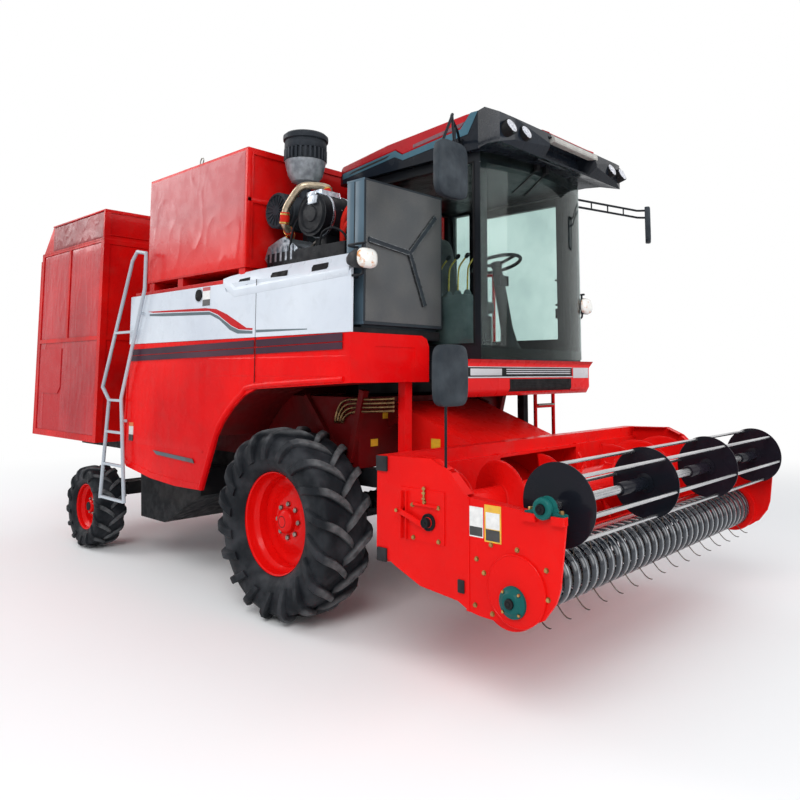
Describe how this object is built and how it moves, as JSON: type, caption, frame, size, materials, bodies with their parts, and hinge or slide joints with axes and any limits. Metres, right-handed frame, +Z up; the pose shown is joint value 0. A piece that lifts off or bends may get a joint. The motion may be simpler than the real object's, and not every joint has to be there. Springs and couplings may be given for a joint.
{
  "type": "self-propelled pick-up combine harvester",
  "caption": "Self-propelled combine harvester with pick-up header, bowed-glass cab, open engine bay, tipping crop tank and tall straw bin.",
  "frame": {"origin": "on the ground, midway between the two front drive wheels", "axes": "+X forward, +Y to the machine's left, +Z up"},
  "size_m": [6.6879, 3.2097, 3.371],
  "materials": {
    "black_paint": "satin paint",
    "black_plastic": "grained",
    "body_red": "gloss paint",
    "cast_metal": "cast",
    "glass": "clear",
    "grey_paint": "satin paint",
    "grey_plastic": "grained",
    "ladder_grey": "satin paint",
    "lamp_glass": "clear",
    "panel_white": "gloss paint",
    "pipe_metal": "cast, satin",
    "rim_red": "gloss paint",
    "seat_cloth": "woven",
    "steel": "brushed",
    "tyre_rubber": "matt"
  },
  "bodies": {
    "root": {"front_axle": "cast_metal", "rear_axle": "cast_metal", "chassis_frame": "body_red", "threshing_body": "body_red", "lower_panels": "body_red", "upper_panels": "panel_white", "wheel_arches": "body_red", "tank_deck": "body_red", "straw_bin": "body_red", "engine_deck": "black_paint", "engine": "cast_metal", "radiator_cowl": "grey_paint", "air_cleaner": "black_plastic", "charge_pipe": "pipe_metal", "cab_shell": "black_paint", "cab_glass": "glass", "cab_roof": "body_red", "cab_visor": "black_paint", "cab_base": "black_paint", "cab_fascia": "body_red", "seat_base": "black_paint", "seat_pads": "seat_cloth", "steering_column": "black_plastic", "console": "grey_plastic", "cab_steps": "body_red", "cab_mirrors": "black_plastic", "headlamps": "lamp_glass", "side_ladder": "ladder_grey", "cleaning_chute": "black_paint"},
    "front_wheel_right": {"front_tyre_right": "tyre_rubber", "front_rim_right": "rim_red"},
    "front_wheel_left": {"front_tyre_left": "tyre_rubber", "front_rim_left": "rim_red"},
    "knuckle_right": {"knuckle_right": "cast_metal"},
    "knuckle_left": {"knuckle_left": "cast_metal"},
    "tie_rod": {"tie_rod": "steel"},
    "rear_wheel_right": {"rear_tyre_right": "tyre_rubber", "rear_rim_right": "rim_red"},
    "rear_wheel_left": {"rear_tyre_left": "tyre_rubber", "rear_rim_left": "rim_red"},
    "header": {"feeder_house": "body_red", "header_side_plates": "body_red", "header_trough": "body_red", "stripper_bands": "black_paint", "header_mirror": "grey_plastic"},
    "tine_rotor": {"tine_rotor": "steel"},
    "reel": {"reel": "black_paint"},
    "auger": {"auger": "body_red"},
    "lift_barrels": {"lift_barrels": "black_paint"},
    "lift_rods": {"lift_rods": "steel"},
    "cab_door": {"cab_door": "black_paint", "cab_door_glass": "glass"},
    "tank": {"tank": "body_red"},
    "tank_barrel": {"tank_barrel": "black_paint"},
    "tank_rod": {"tank_rod": "steel"},
    "bin_tailgate": {"bin_tailgate": "body_red"}
  },
  "joints": [
    {"name": "front_wheel_right_spin", "type": "hinge", "parent": "root", "child": "front_wheel_right", "pos_m": [0, -1.019, 0.62], "axis": [0, 1, 0], "continuous": true},
    {"name": "front_wheel_left_spin", "type": "hinge", "parent": "root", "child": "front_wheel_left", "pos_m": [0, 1.019, 0.62], "axis": [0, 1, 0], "continuous": true},
    {"name": "steering", "type": "hinge", "parent": "root", "child": "knuckle_right", "pos_m": [-2.93, -0.85, 0.37], "axis": [0, 0, 1], "range_deg": [-35, 35]},
    {"name": "steering_left", "type": "hinge", "parent": "root", "child": "knuckle_left", "pos_m": [-2.93, 0.85, 0.37], "axis": [0, 0, 1], "range_deg": [-35, 35]},
    {"name": "tie_rod_pivot", "type": "hinge", "parent": "knuckle_right", "child": "tie_rod", "pos_m": [-3.1, -0.85, 0.54], "axis": [0, 0, 1], "range_deg": [-35, 35]},
    {"name": "rear_wheel_right_spin", "type": "hinge", "parent": "knuckle_right", "child": "rear_wheel_right", "pos_m": [-2.93, -1.053, 0.37], "axis": [0, 1, 0], "continuous": true},
    {"name": "rear_wheel_left_spin", "type": "hinge", "parent": "knuckle_left", "child": "rear_wheel_left", "pos_m": [-2.93, 1.053, 0.37], "axis": [0, 1, 0], "continuous": true},
    {"name": "header_lift", "type": "hinge", "parent": "root", "child": "header", "pos_m": [0.48, 0, 1.33], "axis": [0, 1, 0], "range_deg": [-5, 15]},
    {"name": "tine_rotor_spin", "type": "hinge", "parent": "header", "child": "tine_rotor", "pos_m": [2.088, 0, 0.606], "axis": [0, 1, 0], "continuous": true},
    {"name": "reel_spin", "type": "hinge", "parent": "header", "child": "reel", "pos_m": [2.252, 0, 1.027], "axis": [0, 1, 0], "continuous": true},
    {"name": "auger_spin", "type": "hinge", "parent": "header", "child": "auger", "pos_m": [1.59, 0, 0.88], "axis": [0, 1, 0], "continuous": true},
    {"name": "lift_barrel_pivot", "type": "hinge", "parent": "root", "child": "lift_barrels", "pos_m": [0.3, 0, 0.76], "axis": [0, 1, 0], "range_deg": [-8, 14]},
    {"name": "lift_rod_slide", "type": "slide", "parent": "lift_barrels", "child": "lift_rods", "axis": [0.9987, 0, 0.0512], "range_m": [-0.17, 0.06]},
    {"name": "cab_door_hinge", "type": "hinge", "parent": "root", "child": "cab_door", "pos_m": [0.118, 0.898, 2.3], "axis": [0, 0, 1], "range_deg": [0, 80]},
    {"name": "tank_tip", "type": "hinge", "parent": "root", "child": "tank", "pos_m": [-1.11, 1.196, 2.318], "axis": [-1, 0, 0], "range_deg": [0, 45]},
    {"name": "tank_barrel_pivot", "type": "hinge", "parent": "root", "child": "tank_barrel", "pos_m": [-1.11, 0.585, 1.5], "axis": [-1, 0, 0], "range_deg": [-1, 10]},
    {"name": "tank_rod_slide", "type": "slide", "parent": "tank_barrel", "child": "tank_rod", "axis": [0, 0.014, 0.9999], "range_m": [-0.01, 0.47]},
    {"name": "tailgate_hinge", "type": "hinge", "parent": "root", "child": "bin_tailgate", "pos_m": [-4.206, 0, 2.822], "axis": [0, 1, 0], "range_deg": [0, 80]}
  ],
  "couplings": [
    {"joint": "steering_left", "follows": "steering", "ratio": 1},
    {"joint": "tie_rod_pivot", "follows": "steering", "ratio": -1},
    {"joint": "lift_barrel_pivot", "follows": "header_lift", "ratio": 0.78767},
    {"joint": "lift_rod_slide", "follows": "header_lift", "m_per_rad": -0.57714},
    {"joint": "tank_barrel_pivot", "follows": "tank_tip", "ratio": 0.15378},
    {"joint": "tank_rod_slide", "follows": "tank_tip", "m_per_rad": 0.5655}
  ]
}
